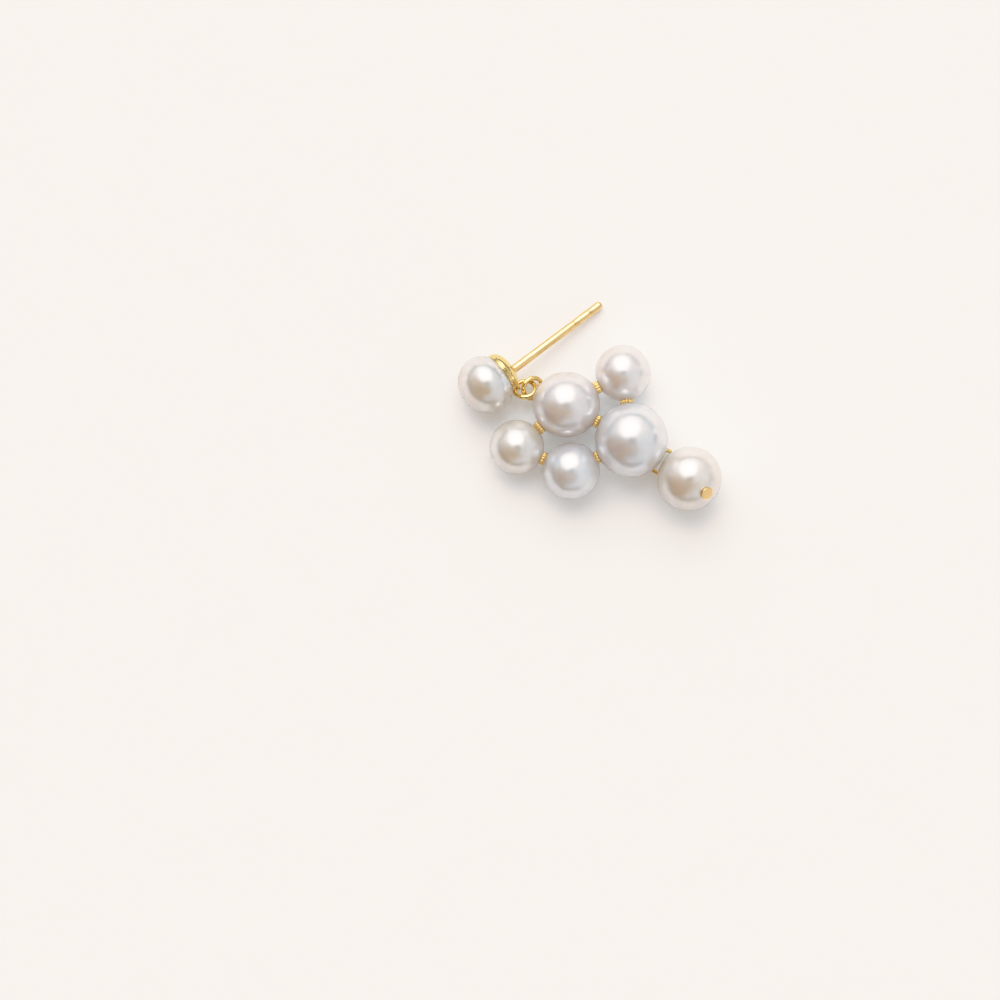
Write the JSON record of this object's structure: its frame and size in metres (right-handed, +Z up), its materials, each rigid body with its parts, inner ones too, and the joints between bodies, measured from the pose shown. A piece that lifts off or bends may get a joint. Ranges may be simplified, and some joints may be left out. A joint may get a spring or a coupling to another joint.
{
  "type": "earring",
  "caption": "Stud earring with a button pearl on a gold post and a hanging cluster of round pearls joined by ribbed gold tubes.",
  "frame": {"origin": "middle of the lying earring's outline, on the table top", "axes": "+X along the long side of the lying earring, from the button pearl towards the end pearl; +Y towards the tip of the ear post; +Z up from the table"},
  "size_m": [0.0262, 0.0209, 0.0074],
  "materials": {
    "pearl": "lustrous",
    "button_pearl": "lustrous",
    "gold": "polished"
  },
  "bodies": {
    "root": {"stud_pearl": "button_pearl", "stud_mount": "gold", "stud_jump_ring": "gold", "drop_jump_ring": "gold", "middle_eye": "gold", "middle_pearl": "pearl", "upper_pearl": "pearl", "large_pearl": "pearl", "outer_small_pearl": "pearl", "inner_small_pearl": "pearl", "tube_middle_upper": "gold", "tube_middle_large": "gold", "tube_upper_large": "gold", "tube_middle_outer": "gold", "tube_outer_inner": "gold", "tube_inner_large": "gold", "large_eye": "gold", "link_ring": "gold", "head_pin": "gold", "end_pearl": "pearl"}
  },
  "joints": []
}
